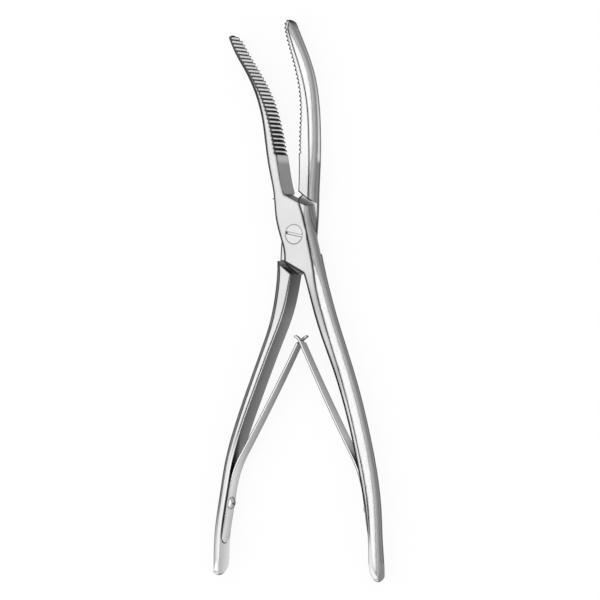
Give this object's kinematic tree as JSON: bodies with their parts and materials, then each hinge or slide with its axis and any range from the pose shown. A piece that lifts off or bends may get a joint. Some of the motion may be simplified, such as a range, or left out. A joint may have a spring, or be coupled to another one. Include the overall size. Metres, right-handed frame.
{
  "type": "plaster cast breaker",
  "caption": "Spreading and breaking pliers for plaster casts: two lap-jointed steel halves with bent, cross-grooved jaws, long handles and a pair of interlocking leaf springs.",
  "frame": {"origin": "on the pivot axis, in the flat underside", "axes": "+Y along the instrument towards the jaw tips, +Z along the pivot axis towards the slotted screw head, +X to the right seen from the front"},
  "size_m": [0.085, 0.2491, 0.0105],
  "materials": {
    "forging": "polished stainless steel",
    "leaf": "ground spring steel",
    "screw": "satin stainless steel"
  },
  "bodies": {
    "rear_half": {"rear_half": "forging", "pivot_screw": "screw", "left_leaf_foot": "leaf", "left_spring_screw": "screw"},
    "front_half": {"front_half": "forging", "right_leaf_foot": "leaf", "right_spring_screw": "screw"},
    "left_leaf": {"left_leaf_spring": "leaf"},
    "right_leaf": {"right_leaf_spring": "leaf"}
  },
  "joints": [
    {"name": "jaw_pivot", "type": "hinge", "parent": "rear_half", "child": "front_half", "pos_m": [0, 0, 0], "axis": [0, 0, 1], "range_deg": [-16.4, 0], "stiffness_Nm_per_rad": 2},
    {"name": "left_leaf_flex", "type": "hinge", "parent": "rear_half", "child": "left_leaf", "pos_m": [-0.0319, -0.1055, 0], "axis": [0, 0, 1], "range_deg": [-0.2, 5.6]},
    {"name": "right_leaf_flex", "type": "hinge", "parent": "front_half", "child": "right_leaf", "pos_m": [0.0318, -0.1065, 0], "axis": [0, 0, 1], "range_deg": [-7.4, 0.2]}
  ],
  "couplings": [
    {"joint": "left_leaf_flex", "follows": "jaw_pivot", "ratio": -0.318},
    {"joint": "right_leaf_flex", "follows": "jaw_pivot", "ratio": 0.43}
  ]
}
